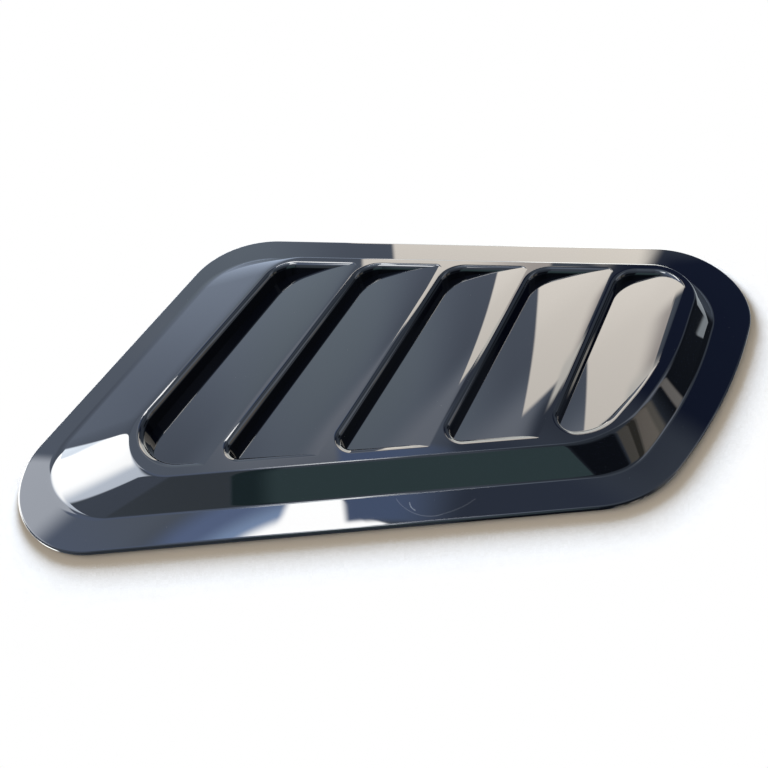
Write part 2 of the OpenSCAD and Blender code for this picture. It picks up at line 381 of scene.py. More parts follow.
class Skin:
    """Collects patches of surface, with a normal at each corner, into one closed mesh."""

    weld = 0.0015
    merge = 1e-7
    least = 1e-9

    def __init__(self) -> None:
        """Starts with no patch."""
        self.points: list[np.ndarray] = []
        self.faces: list[list[int]] = []
        self.aims: list[np.ndarray] = []
        self.surfaces: list[int] = []
        self.count = 0

    def add(self, points: np.ndarray, faces: list[list[int]], aims: np.ndarray,
            surface: Surface = Surface.OUTSIDE) -> None:
        """Adds a patch and turns its faces the way that their normals aim.

        Args:
            points: The patch's points in millimetres.
            faces: Its faces as lists of point numbers.
            aims: One normal for each point, or one for each corner of each face in order.
            surface: The face of the moulding that the patch belongs to.
        """
        self.surfaces += [surface.value] * len(faces)
        by_corner = len(aims) != len(points)
        corner = 0
        for face in faces:
            turned = aims[corner:corner + len(face)] if by_corner else aims[face]
            corner += len(face)
            shape = points[face]
            normal = np.cross(shape, np.roll(shape, -1, axis=0)).sum(axis=0)
            if normal @ turned.sum(axis=0) < 0:
                face, turned = face[::-1], turned[::-1]
            self.faces.append([self.count + i for i in face])
            self.aims.append(turned)
        self.points.append(points)
        self.count += len(points)

    def add_mesh(self, mesh: bpy.types.Mesh) -> None:
        """Adds a swept mesh, whose aim attribute holds its normals, and deletes it."""
        points = np.zeros(len(mesh.vertices) * 3)
        mesh.vertices.foreach_get("co", points)
        aims = np.zeros(len(mesh.vertices) * 3)
        mesh.attributes["aim"].data.foreach_get("vector", aims)
        faces = [list(polygon.vertices) for polygon in mesh.polygons]
        self.add(points.reshape(-1, 3) / MM, faces, aims.reshape(-1, 3))
        bpy.data.meshes.remove(mesh)

    def add_sheet(self, outline: np.ndarray, holes: list[np.ndarray], inside: np.ndarray, lift: Lift,
                  surface: Surface = Surface.OUTSIDE) -> None:
        """Fills a region of the plan with triangles.

        Args:
            outline: The region's closed outline in plan.
            holes: The closed outlines of its holes.
            inside: Further points in plan for the triangles to use.
            lift: Gives the heights and the normals at an array of points in plan.
            surface: The face of the moulding that the region belongs to.
        """
        loops = [loop.astype(np.float32).astype(float) for loop in (outline, *holes)]
        edges: list[tuple[int, int]] = []
        base = 0
        for loop in loops:
            edges += [(base + k, base + (k + 1) % len(loop)) for k in range(len(loop))]
            base += len(loop)
        plan = [Vector(p) for p in np.concatenate([*loops, inside])]
        made, _, found, *_ = delaunay_2d_cdt(plan, edges, [], 1, self.merge, False)
        flat, triangles = np.array([tuple(p) for p in made]), np.array(found)
        middle = flat[triangles].mean(axis=1)
        kept = enclosed(middle, loops[0])
        for hole in loops[1:]:
            kept &= ~enclosed(middle, hole)
        heights, aims = lift(flat)
        self.add(np.column_stack([flat, heights]), triangles[kept].tolist(), aims, surface)

    def mesh(self, name: str, centre: np.ndarray, materials: list[bpy.types.Material]) -> bpy.types.Mesh:
        """Joins the patches into one mesh in metres, with its corner normals kept.

        Args:
            name: The mesh's name.
            centre: The point in plan that becomes the origin.
            materials: The materials of the mesh.

        Returns:
            The closed mesh.
        """
        points = (np.concatenate(self.points) - [*centre, 0.0]) * MM
        rough = bpy.data.meshes.new(name)
        rough.from_pydata(points.tolist(), [], self.faces)
        rough.polygons.foreach_set("material_index", self.surfaces)
        for material in materials:
            rough.materials.append(material)
        aims = rough.attributes.new("aim", "FLOAT_VECTOR", "CORNER")
        aims.data.foreach_set("vector", np.concatenate(self.aims).ravel())
        shape = bmesh.new()
        shape.from_mesh(rough)
        bmesh.ops.remove_doubles(shape, verts=shape.verts, dist=self.weld * MM)
        bmesh.ops.delete(shape, geom=[v for v in shape.verts if not v.link_faces], context="VERTS")
        shape.to_mesh(rough)
        shape.free()
        kept = np.zeros(len(rough.loops) * 3)
        rough.attributes["aim"].data.foreach_get("vector", kept)
        rough.attributes.remove(rough.attributes["aim"])
        rough.polygons.foreach_set("use_smooth", [True] * len(rough.polygons))
        kept = kept.reshape(-1, 3)
        kept /= np.maximum(np.linalg.norm(kept, axis=1, keepdims=True), self.least)
        rough.normals_split_custom_set(kept.tolist())
        return rough


def chain_mesh(chains: list[dict[str, np.ndarray]], closed: bool) -> bpy.types.Mesh:
    """Makes one mesh of chains of stations for a sweep.

    Args:
        chains: For each chain, its attributes by name. The first one also gives the vertices.
        closed: Whether each chain ends where it starts.

    Returns:
        A mesh of vertices and edges, in metres, with the attributes on its vertices.
    """
    names = list(chains[0])
    joined = {name: np.concatenate([chain[name] for chain in chains]) for name in names}
    edges: list[tuple[int, int]] = []
    base = 0
    for chain in chains:
        count = len(chain[names[0]])
        links = count if closed else count - 1
        edges += [(base + k, base + (k + 1) % count) for k in range(links)]
        base += count
    mesh = bpy.data.meshes.new("chains")
    mesh.from_pydata((joined[names[0]] * MM).tolist(), edges, [])
    for name, values in joined.items():
        if values.ndim == 1:
            mesh.attributes.new(name, "FLOAT", "POINT").data.foreach_set("value", values * MM)
        else:
            scale = 1.0 if name == "way" else MM
            data = mesh.attributes.new(name, "FLOAT_VECTOR", "POINT").data
            data.foreach_set("vector", (values * scale).ravel())
    return mesh


@dataclass(frozen=True)
class Panel:
    """The moulding's outside: rim, wall, ramp and the plane of its top."""

    headings: tuple[float, ...] = (5.3, 46.5, 63.1, 178.3, 243.9)
    crest_headings: tuple[float, ...] = (5.3, 46.5, 63.1, 178.3, 242.4)
    rim_reach: tuple[float, ...] = (78.1, 134.0, 160.2, 101.2, 130.2)
    rim_radii: tuple[float, ...] = (66.2, 355.6, 42.0, 50.0, 37.0)
    rim_widths: tuple[float, ...] = (15.2, 15.5, 18.6, 15.6, 10.2)
    rim_t: float = 2.8
    rim_edge_r: float = 1.1
    foot_radii: tuple[float, ...] = (43.2, 288.1, 31.9, 44.0, 28.0)
    crest_radii: tuple[float, ...] = (63.5, 209.8, 19.0, 25.0, 22.0)
    runs: tuple[float, ...] = (10.7, 13.9, 14.3, 12.0, 32.7)
    rise: float = 13.7
    foot_blend: float = 0.07
    crest_blend: float = 0.13
    crest_overrun: float = 0.06
    longest_overrun: float = 0.85
    land_tightening: float = 1.0
    back_bow: float = 0.036
    back_from: float = 0.6
    back_fade: float = 0.35
    arc_steps: tuple[int, ...] = (36, 24, 72, 48, 72)
    edge_steps: tuple[int, ...] = (6, 6, 12, 12, 24)
    blend_steps: int = 14

    @property
    def top_z(self) -> float:
        """Height of the flat top."""
        return self.rim_t + self.rise

    @property
    def rim(self) -> Ring:
        """The rim's outline."""
        return Ring(self.headings, self.rim_reach, self.rim_radii)

    @property
    def foot(self) -> Ring:
        """The outline of the wall's foot on the rim."""
        reaches = tuple(reach - width for reach, width in zip(self.rim_reach, self.rim_widths))
        return Ring(self.headings, reaches, self.foot_radii)

    @property
    def crest(self) -> Ring:
        """The outline where the wall would meet the top."""
        reaches = tuple(reach - run for reach, run in zip(self.foot.reaches, self.runs))
        return Ring(self.crest_headings, reaches, self.crest_radii)

    def stations(self, ring: Ring) -> Stations:
        """Places the panel's own stations round a ring."""
        return ring.stations(self.arc_steps, self.edge_steps)

    def centre(self) -> np.ndarray:
        """Gives the middle of the rim's bounding box in plan."""
        points = self.stations(self.rim).points
        return (points.min(axis=0) + points.max(axis=0)) / 2

    def land_edge(self) -> Stations:
        """Gives the outline where the crest's curve ends in the flat top."""
        over = tuple(min(self.crest_overrun * run, self.longest_overrun) for run in self.runs)
        radii = tuple(radius - self.land_tightening for radius in self.crest_radii)
        reaches = tuple(reach - step for reach, step in zip(self.crest.reaches, over))
        return self.stations(Ring(self.crest_headings, reaches, radii))

    def chains(self) -> list[dict[str, np.ndarray]]:
        """Lists the bands of the outside from the rim's face to the top.

        Returns:
            For each band its begin, bend and end outlines, and the way round it. The back's way
            rises a little, which leans the normals there as a slightly bowed rim does.
        """
        rim, foot, crest = (self.stations(ring) for ring in (self.rim, self.foot, self.crest))
        low, high = foot.at_height(self.rim_t), crest.at_height(self.top_z)
        step = high - low
        outer = low - step * self.foot_blend * [1.0, 1.0, 0.0]
        lower, upper = low + step * self.foot_blend, high - step * self.crest_blend
        edge = rim.at_height(self.rim_t, self.rim_edge_r)
        land = self.land_edge().at_height(self.top_z)
        behind = np.clip((foot.normals[:, 1] - self.back_from) / self.back_fade, 0, 1)
        bow = -self.back_bow * behind * behind * (3 - 2 * behind)
        way = np.column_stack([-foot.normals[:, 1], foot.normals[:, 0], bow])
        bands = [
            (edge, (edge + outer) / 2, outer),
            (outer, low, lower),
            (lower, (lower + upper) / 2, upper),
            (upper, high, land),
        ]
        return [{"begin": a, "bend": b, "end": c, "way": way} for a, b, c in bands]

    def edge_chain(self) -> dict[str, np.ndarray]:
        """Gives the chain along which the rim's top edge rolls over and runs down."""
        rim = self.stations(self.rim)
        fall = math.pi / 2 * self.rim_edge_r + self.rim_t - self.rim_edge_r
        return {
            "seat": rim.at_height(self.rim_t, self.rim_edge_r),
            "way": rim.aims(),
            "fall": np.full(len(rim.points), fall),
        }


@dataclass(frozen=True)
class Louvres:
    """The row of pockets, each with a rolled lip, drafted walls and a slanted blade."""

    panel: Panel
    count: int = 5
    slant: float = 62.4
    pitch: float = 42.1
    margin_ramp: float = 1.0
    margin_front: float = 4.2
    margin_back: float = 3.1
    margin_right: float = 5.0
    land: float = 0.5
    drops: tuple[float, ...] = (9.4, 8.0, 8.0, 8.0, 8.0)
    bulge: float = 1.3
    last_width: float = 37.5
    lip_r: float = 3.3
    draft: float = 12.0
    front_radii: tuple[float, ...] = (21.0, 8.2, 8.2, 8.2, 9.5)
    last_nose_r: float = 30.0
    back_r: float = 19.0
    arc_step: float = 2.0
    least_arc_steps: int = 4
    spacing: float = 1.5
    wall_steps: int = 22
    blade_rows: int = 22
    row_crowding: float = 1.6
    edge_clearance: float = 0.3
    search_steps: int = 44
    longest_fall: float = 3.0

    @property
    def across(self) -> np.ndarray:
        """Direction across the louvres, from the ramp to the nose."""
        return outward(self.slant)

    def lip(self, i: int) -> float:
        """Gives the distance across the louvres of pocket i's lip."""
        return self.margin_ramp - self.panel.crest.reaches[Edge.LEFT] + i * self.pitch

    def blade_width(self, i: int) -> float:
        """Gives the width of blade i."""
        return self.last_width if i == self.count - 1 else self.pitch - self.land

    def ring(self, i: int) -> Ring:
        """Gives the outline of pocket i in the plane of the top."""
        crest = self.panel.crest
        front = crest.reaches[Edge.FRONT] - self.margin_front
        back = crest.reaches[Edge.BACK] - self.margin_back
        if i == self.count - 1:
            nose, right = (crest.reaches[e] - self.margin_right for e in (Edge.NOSE, Edge.RIGHT))
            bend, corner = (crest.radii[e] - self.margin_right for e in (Edge.NOSE, Edge.RIGHT))
            radii = (self.last_nose_r, bend, corner, self.back_r, self.front_radii[i])
            return Ring(crest.headings, (front, nose, right, back, -self.lip(i)), radii)
        headings = (crest.headings[Edge.FRONT], self.slant, crest.headings[Edge.BACK], 180 + self.slant)
        radii = (self.lip_r, self.lip_r, self.back_r, self.front_radii[i])
        return Ring(headings, (front, self.lip(i + 1), back, -self.lip(i)), radii)

    def share(self, i: int, plan: np.ndarray) -> np.ndarray:
        """Gives how far across blade i points lie, from 0 at its low side to 1 at its high one."""
        return (plan @ self.across - self.lip(i)) / self.blade_width(i)

    def depth(self, i: int, share: np.ndarray) -> np.ndarray:
        """Gives the depth of blade i below the top."""
        return self.drops[i] * np.clip(1 - share, 0, 1) ** self.bulge

    def lip_stations(self, i: int) -> Stations:
        """Gives the stations of pocket i's lip, from one end of its blade's high side to the other."""
        ring = self.ring(i)
        turns = [(b - a) % 360 for a, b in zip(ring.headings, ring.headings[1:] + ring.headings[:1])]
        arcs = tuple(max(self.least_arc_steps, math.ceil(turn / self.arc_step)) for turn in turns)
        loop = ring.stations(arcs, (int(self.pitch * 2 / self.spacing),) * len(arcs))
        share = self.share(i, loop.points)
        low = share < 1
        first = int(np.flatnonzero(low & ~np.roll(low, 1))[0])
        order = (first + np.arange(low.sum())) % len(share)
        points, normals = list(loop.points[order]), list(loop.normals[order])
        after = (order[-1] + 1) % len(share)
        for at, beside, place in ((order[0], order[0] - 1, 0), (order[-1], after, len(order) + 1)):
            part = (1 - share[at]) / (share[beside] - share[at])
            point = loop.points[at] + part * (loop.points[beside] - loop.points[at])
            normal = loop.normals[at] + part * (loop.normals[beside] - loop.normals[at])
            points.insert(place, point)
            normals.insert(place, normal / np.linalg.norm(normal))
        return Stations(np.array(points), np.array(normals))

    def rolled(self, run: np.ndarray) -> tuple[np.ndarray, np.ndarray]:
        """Gives how far in and how far down a run over the lip and along the wall leads."""
        draft = math.radians(self.draft)
        angle = np.minimum(run / self.lip_r, math.pi / 2 - draft)
        beyond = run - angle * self.lip_r
        inward = self.lip_r * np.sin(angle) + beyond * math.sin(draft)
        return inward, self.lip_r * (1 - np.cos(angle)) + beyond * math.cos(draft)

    def falls(self, i: int, lip: Stations) -> np.ndarray:
        """Finds the run at which the wall under each station of pocket i meets the blade."""
        low = np.zeros(len(lip.points))
        high = np.full(len(lip.points), self.longest_fall * max(self.drops))
        for _ in range(self.search_steps):
            run = (low + high) / 2
            inward, down = self.rolled(run)
            plan = lip.points - inward[:, None] * lip.normals
            above = down < self.depth(i, self.share(i, plan))
            low, high = np.where(above, run, low), np.where(above, high, run)
        run = (low + high) / 2
        run[[0, -1]] = 0.0
        return run

    def high_side(self, i: int, lip: Stations) -> np.ndarray:
        """Gives points along the high side of blade i, from the lip's last station to its first."""
        a, b = lip.points[-1], lip.points[0]
        steps = int(np.linalg.norm(b - a) / self.spacing)
        return a + (b - a) * np.linspace(0, 1, steps + 1)[1:-1, None]

    def chain(self, i: int) -> dict[str, np.ndarray]:
        """Gives the chain along which pocket i's lip and wall are swept."""
        lip = self.lip_stations(i)
        return {"seat": lip.at_height(self.panel.top_z), "way": -lip.aims(), "fall": self.falls(i, lip)}

    def mouth(self, i: int) -> np.ndarray:
        """Gives the outline of pocket i's opening in the top."""
        lip = self.lip_stations(i)
        return np.concatenate([lip.points, self.high_side(i, lip)])

    def blade_outline(self, i: int) -> np.ndarray:
        """Gives the outline of blade i in plan, where the walls meet it."""
        lip = self.lip_stations(i)
        inward, _ = self.rolled(self.falls(i, lip))
        return np.concatenate([lip.points - inward[:, None] * lip.normals, self.high_side(i, lip)])

    def blade_points(self, i: int, outline: np.ndarray) -> np.ndarray:
        """Gives rows of points inside blade i, closer together towards its high side."""
        along = np.array([-self.across[1], self.across[0]])
        reach = outline @ along
        shares = 1 - np.linspace(1, 0, self.blade_rows + 1)[1:-1] ** self.row_crowding
        places = np.arange(reach.min(), reach.max(), self.spacing)
        distance = self.lip(i) + shares * self.blade_width(i)
        grid = (distance[:, None, None] * self.across + places[None, :, None] * along).reshape(-1, 2)
        away = np.linalg.norm(grid[:, None] - outline, axis=2).min(axis=1)
        return grid[enclosed(grid, outline) & (away >= self.edge_clearance * self.spacing)]

    def blade_surface(self, i: int, plan: np.ndarray) -> tuple[np.ndarray, np.ndarray]:
        """Gives the heights and the normals of blade i at points in plan."""
        share = self.share(i, plan)
        left = np.clip(1 - share, 0, 1)
        slope = self.drops[i] * self.bulge * left ** (self.bulge - 1) / self.blade_width(i)
        aims = np.column_stack([-slope[:, None] * self.across, np.ones(len(plan))])
        aims /= np.linalg.norm(aims, axis=1, keepdims=True)
        return self.panel.top_z - self.depth(i, share), aims


class Underside:
    """The model's own hollow, seen from below, closed to the rim by a flat face."""

    flat = 1e-6
    least = 1e-12
    smooth_cosine = math.cos(math.radians(28))

    def __init__(self, node: bpy.types.Object, centre: np.ndarray) -> None:
        """Takes the faces of the model's hollow.

        Args:
            node: The model's own node.
            centre: The point in plan that the node's origin stands for.
        """
        shape = bmesh.new()
        shape.from_mesh(node.data)
        bmesh.ops.remove_doubles(shape, verts=shape.verts, dist=self.flat)
        resting = [f for f in shape.faces if all(abs(v.co.z) < self.flat for v in f.verts)]
        bmesh.ops.delete(shape, geom=resting, context="FACES")
        widest = min(shape.verts, key=lambda v: v.co.x)
        outside = self.connected(widest)
        bmesh.ops.delete(shape, geom=list(outside), context="VERTS")
        shape.verts.ensure_lookup_table()
        shape.verts.index_update()
        self.points = np.array([tuple(v.co) for v in shape.verts]) / MM + [*centre, 0.0]
        self.faces = [[v.index for v in f.verts] for f in shape.faces]
        self.aims = self.corner_normals(shape)
        self.mouth = self.open_loop(shape)
        shape.free()

    @staticmethod
    def connected(start: bmesh.types.BMVert) -> set[bmesh.types.BMVert]:
        """Gives every vertex that edges join to this one."""
        found, waiting = {start}, [start]
        while waiting:
            vertex = waiting.pop()
            for edge in vertex.link_edges:
                other = edge.other_vert(vertex)
                if other not in found:
                    found.add(other)
                    waiting.append(other)
        return found

    def corner_normals(self, shape: bmesh.types.BMesh) -> np.ndarray:
        """Smooths the normals at each corner over the faces that lie nearly alike."""
        aims: list[np.ndarray] = []
        facing = {f: np.array(f.normal) for f in shape.faces}
        size = {f: f.calc_area() for f in shape.faces}
        for face in shape.faces:
            own = facing[face]
            for vertex in face.verts:
                alike = [f for f in vertex.link_faces if facing[f] @ own > self.smooth_cosine]
                mean = sum((facing[f] * size[f] for f in alike), own * self.least)
                aims.append(mean / max(np.linalg.norm(mean), self.least))
        return np.array(aims)

    @staticmethod
    def open_loop(shape: bmesh.types.BMesh) -> np.ndarray:
        """Walks round the hollow's open edge and gives its vertex numbers in order."""
        edges = [e for e in shape.edges if e.is_boundary]
        start = edges[0].verts[0]
        order, last, vertex = [start.index], None, start
        while True:
            edge = next(e for e in vertex.link_edges if e.is_boundary and e != last)
            vertex, last = edge.other_vert(vertex), edge
            if vertex == start:
                return np.array(order)
            order.append(vertex.index)

    def add_to(self, skin: Skin, rim: np.ndarray) -> None:
        """Adds the hollow and the rim's resting face to a skin."""
        skin.add(self.points, self.faces, self.aims, Surface.INSIDE)
        mouth = self.points[self.mouth, :2]
        if np.cross(mouth, np.roll(mouth, -1, axis=0)).sum() < 0:
            mouth = mouth[::-1]
        skin.add_sheet(rim, [mouth], np.empty((0, 2)),
                       lambda plan: (np.zeros(len(plan)), np.tile(-UP, (len(plan), 1))), Surface.INSIDE)


class ShaderGroups:
    """The shader node groups that the finishes and the room share."""

    hairline_turns = (0.4, 1.3, 2.5)
    hairline_stretch = (0.035, 1.0, 0.3)
    hairline_width = 0.045
    scratch_fade = (0.2, 0.8)

    def __init__(self) -> None:
        """Builds each group once."""
        self.specks = self.build(
            "specks", (("Size", 1.0), ("Share", 0.05), ("Radius", 0.3)), self.make_specks)
        self.hairlines = self.build("hairlines", (("Spacing", 4.0), ("Share", 0.05)), self.make_hairlines)
        self.grain = self.build("grain", (("Size", 1.0), ("Detail", 2.0)), self.make_grain)
        self.scratch = self.build(
            "scratch",
            (("Middle x", 0.0), ("Middle y", 0.0), ("Radius", 10.0), ("First", -1.0), ("Last", 1.0),
             ("Width", 0.3)),
            self.make_scratch)
        self.patch = self.build(
            "room_patch",
            (("Azimuth", 0.0), ("Elevation", 0.0), ("Left", 0.0), ("Right", 0.0), ("Low", 0.0), ("High", 0.0),
             ("Left blur", 1.0), ("Right blur", 1.0), ("Edge blur", 1.0), ("Left lean", 0.0),
             ("Right lean", 0.0)),
            self.make_patch, point=False)

    @staticmethod
    def build(name: str, sizes: tuple[tuple[str, float], ...], make: Callable,
              point: bool = True) -> bpy.types.NodeTree:
        """Makes a group whose output is one mask or height.

        Args:
            name: The group's name.
            sizes: The names and first values of its number inputs.
            make: Adds the nodes and gives the socket of the result.
            point: Whether the group also takes a point.

        Returns:
            The node group.
        """
        tree = bpy.data.node_groups.new(name, "ShaderNodeTree")
        if point:
            tree.interface.new_socket("Point", in_out="INPUT", socket_type="NodeSocketVector")
        for size, value in sizes:
            socket = tree.interface.new_socket(size, in_out="INPUT", socket_type="NodeSocketFloat")
            socket.default_value = value
        tree.interface.new_socket("Value", in_out="OUTPUT", socket_type="NodeSocketFloat")
        wiring = Wiring(tree)
        made = make(wiring, tree.nodes.new("NodeGroupInput").outputs)
        wiring.add("NodeGroupOutput", made)
        return tree

    @staticmethod
    def make_specks(wiring: Wiring, given: bpy.types.NodeOutputs) -> bpy.types.NodeSocket:
        """Scatters small round specks, a share of all cells of a size."""
        cells = wiring.scaled(given["Point"], wiring.sum("DIVIDE", 1.0 / MM, given["Size"]))
        spots = wiring.add("ShaderNodeTexVoronoi", cells, feature="F1")
        chance = wiring.add("ShaderNodeSeparateColor", spots.outputs["Color"])
        chosen = wiring.sum("LESS_THAN", chance.outputs[0], given["Share"])
        reach = wiring.sum("MULTIPLY", given["Radius"], chance.outputs[1])
        near = wiring.sum("LESS_THAN", spots.outputs["Distance"], reach)
        return wiring.sum("MULTIPLY", chosen, near)

    @staticmethod
    def make_hairlines(wiring: Wiring, given: bpy.types.NodeOutputs) -> bpy.types.NodeSocket:
        """Draws a few faint hairlines that run every way, as wiping leaves them."""
        total: object = 0.0
        for turn in ShaderGroups.hairline_turns:
            turned = wiring.add("ShaderNodeVectorRotate", given["Point"], rotation_type="Z_AXIS")
            turned.inputs["Angle"].default_value = turn
            long = wiring.vector("MULTIPLY", turned.outputs[0], ShaderGroups.hairline_stretch)
            cells = wiring.scaled(long, wiring.sum("DIVIDE", 1.0 / MM, given["Spacing"]))
            lines = wiring.add("ShaderNodeTexVoronoi", cells, feature="F1")
            chance = wiring.add("ShaderNodeSeparateColor", lines.outputs["Color"])
            chosen = wiring.sum("LESS_THAN", chance.outputs[0], given["Share"])
            near = wiring.sum("LESS_THAN", lines.outputs["Distance"], ShaderGroups.hairline_width)
            total = wiring.sum("MAXIMUM", wiring.sum("MULTIPLY", chosen, near), total)
        return total

    @staticmethod
    def make_grain(wiring: Wiring, given: bpy.types.NodeOutputs) -> bpy.types.NodeSocket:
        """Gives a soft noise of a size, from 0 to 1."""
        cells = wiring.scaled(given["Point"], wiring.sum("DIVIDE", 1.0 / MM, given["Size"]))
        noise = wiring.add("ShaderNodeTexNoise", cells)
        wiring.feed(noise.inputs["Scale"], 1.0)
        wiring.feed(noise.inputs["Detail"], given["Detail"])
        return noise.outputs["Fac"]

    @staticmethod
    def make_scratch(wiring: Wiring, given: bpy.types.NodeOutputs) -> bpy.types.NodeSocket:
        """Draws one fine line along the front of an arc, between two places along the trim."""
        place = wiring.add("ShaderNodeSeparateXYZ", wiring.scaled(given["Point"], 1.0 / MM)).outputs
        along = wiring.sum("SUBTRACT", place[0], given["Middle x"])
        forward = wiring.sum("SUBTRACT", given["Middle y"], place[1])
        squares = wiring.sum("MULTIPLY_ADD", along, along, wiring.sum("MULTIPLY", forward, forward))
        off = wiring.sum("ABSOLUTE", wiring.sum("SUBTRACT", wiring.sum("SQRT", squares), given["Radius"]))
        share = wiring.sum("DIVIDE", off, given["Width"])
        line = wiring.add("ShaderNodeMapRange", share, *ShaderGroups.scratch_fade, 1.0, 0.0)
        begun = wiring.sum("GREATER_THAN", place[0], given["First"])
        going = wiring.sum("LESS_THAN", place[0], given["Last"])
        front = wiring.sum("MULTIPLY", wiring.sum("GREATER_THAN", forward, 0.0), line.outputs[0])
        return wiring.sum("MULTIPLY", wiring.sum("MULTIPLY", begun, going), front)

    @staticmethod
    def make_patch(wiring: Wiring, given: bpy.types.NodeOutputs) -> bpy.types.NodeSocket:
        """Masks a soft-edged patch of directions, whose sides may lean with the elevation."""
        azimuth, elevation = given["Azimuth"], given["Elevation"]
        risen = wiring.sum("SUBTRACT", elevation, given["Low"])
        left = wiring.sum("MULTIPLY_ADD", risen, given["Left lean"], given["Left"])
        right = wiring.sum("MULTIPLY_ADD", risen, given["Right lean"], given["Right"])
        sides = (
            (azimuth, left, given["Left blur"]),
            (right, azimuth, given["Right blur"]),
            (elevation, given["Low"], given["Edge blur"]),
            (given["High"], elevation, given["Edge blur"]),
        )
        total: object = 1.0
        for more, less, blur in sides:
            gone = wiring.sum("ADD", wiring.sum("DIVIDE", wiring.sum("SUBTRACT", more, less), blur), 0.5)
            ramp = wiring.add("ShaderNodeMapRange", gone, interpolation_type="SMOOTHSTEP")
            total = wiring.sum("MULTIPLY", total, ramp.outputs[0])
        return total

    @staticmethod
    def place(wiring: Wiring, group: bpy.types.NodeTree, **values: object) -> bpy.types.NodeSocket:
        """Places a group in a tree with its own values, named with _ for each space."""
        node = wiring.add("ShaderNodeGroup", node_tree=group)
        for name, value in values.items():
            wiring.feed(node.inputs[name.replace("_", " ").capitalize()], value)
        return node.outputs[0]


@dataclass(frozen=True)
class Scratch:
    """A fine scratch along the front of an arc, in millimetres on the trim."""

    middle: tuple[float, float]
    radius: float
    first: float
    last: float
    light: float
    width: float = 0.45


@dataclass(frozen=True)
class GlossBlack:
    """The polished black of the outside, with what dust and wiping leave on it.

    The steep walls keep only part of the coat and of the specular level. This is painted shade, which dims
    the reflections of the pockets' walls and the rim's side. A wall is steep by how little its normal rises,
    between the two values of steep.
    """

    name: str = "gloss_black"
    colour: tuple[float, float, float] = (0.0013, 0.0016, 0.003)
    dust: tuple[float, float, float] = (0.5, 0.5, 0.48)
    roughness: float = 0.01
    smear: float = 0.02
    ior: float = 1.55
    coat_ior: float = 1.6
    coat_roughness: float = 0.004
    speck_size: float = 5.0
    speck_share: float = 0.1
    speck_radius: float = 0.05
    speck_dullness: float = 0.5
    hairline_spacing: float = 4.0
    hairline_share: float = 0.02
    hairline_depth: float = 0.0006
    smear_size: float = 17.0
    smear_detail: float = 3.0
    steep: tuple[float, float] = (0.45, 0.22)
    gloss: float = 0.5
    # painted shade: the coat and the specular level that steep walls keep, lower than the rest
    shaded_wall_coat: float = 0.0
    shaded_wall_gloss: float = 0.2
    wave_size: float = 38.0
    wave_height: float = 0.006
    scratches: tuple[Scratch, ...] = (
        Scratch((2.6, -62.7), 17.2, -12.2, 8.4, 0.09),
        Scratch((-2.0, -38.0), 42.1, 8.4, 23.5, 0.06),
        Scratch((-1.7, -73.1), 4.5, -6.3, -3.6, 0.3),
    )

    def material(self, groups: ShaderGroups) -> bpy.types.Material:
        """Builds the finish.

        Args:
            groups: The shared node groups.

        Returns:
            The material.
        """
        made, wiring = new_finish(self.name)
        point = wiring.add("ShaderNodeTexCoord").outputs["Object"]
        specks = groups.place(wiring, groups.specks, point=point, size=self.speck_size,
                              share=self.speck_share, radius=self.speck_radius)
        lines = groups.place(wiring, groups.hairlines, point=point, spacing=self.hairline_spacing,
                             share=self.hairline_share)
        smears = groups.place(wiring, groups.grain, point=point, size=self.smear_size,
                              detail=self.smear_detail)
        waves = groups.place(wiring, groups.grain, point=point, size=self.wave_size, detail=0.0)
        shader = wiring.add("ShaderNodeBsdfPrincipled")
        marks = specks
        for scratch in self.scratches:
            drawn = groups.place(wiring, groups.scratch, point=point, middle_x=scratch.middle[0],
                                 middle_y=scratch.middle[1], radius=scratch.radius, first=scratch.first,
                                 last=scratch.last, width=scratch.width)
            marks = wiring.sum("MAXIMUM", marks, wiring.sum("MULTIPLY", drawn, scratch.light))
        wiring.feed(shader.inputs["Base Color"], wiring.mix(marks, self.colour, self.dust))
        dull = wiring.sum("ADD", wiring.sum("MULTIPLY", smears, self.smear), self.roughness)
        dusty = wiring.sum("MULTIPLY", specks, self.speck_dullness)
        wiring.feed(shader.inputs["Roughness"], wiring.sum("ADD", dull, dusty))
        # painted shade: on steep walls the coat and the specular level fall, which dims their reflections
        upright = wiring.add("ShaderNodeSeparateXYZ", wiring.add("ShaderNodeNewGeometry").outputs["Normal"])
        coat, gloss = (
            wiring.add("ShaderNodeMapRange", upright.outputs[2], *self.steep, full, drawn).outputs[0]
            for full, drawn in ((1.0, self.shaded_wall_coat), (self.gloss, self.shaded_wall_gloss)))
        wiring.feed(shader.inputs["Specular IOR Level"], gloss)
        wiring.feed(shader.inputs["Coat Weight"],
                    wiring.sum("MULTIPLY", coat, wiring.sum("SUBTRACT", 1.0, specks)))
        shader.inputs["Coat Roughness"].default_value = self.coat_roughness
        shader.inputs["Coat IOR"].default_value = self.coat_ior
        shader.inputs["IOR"].default_value = self.ior
        rise = wiring.sum("ADD", wiring.sum("MULTIPLY", waves, self.wave_height * MM),
                          wiring.sum("MULTIPLY", lines, -self.hairline_depth * MM))
        bumped = wiring.bump(rise)
        for socket in ("Normal", "Coat Normal"):
            wiring.feed(shader.inputs[socket], bumped)
        wiring.add("ShaderNodeOutputMaterial", shader.outputs[0])
        return made


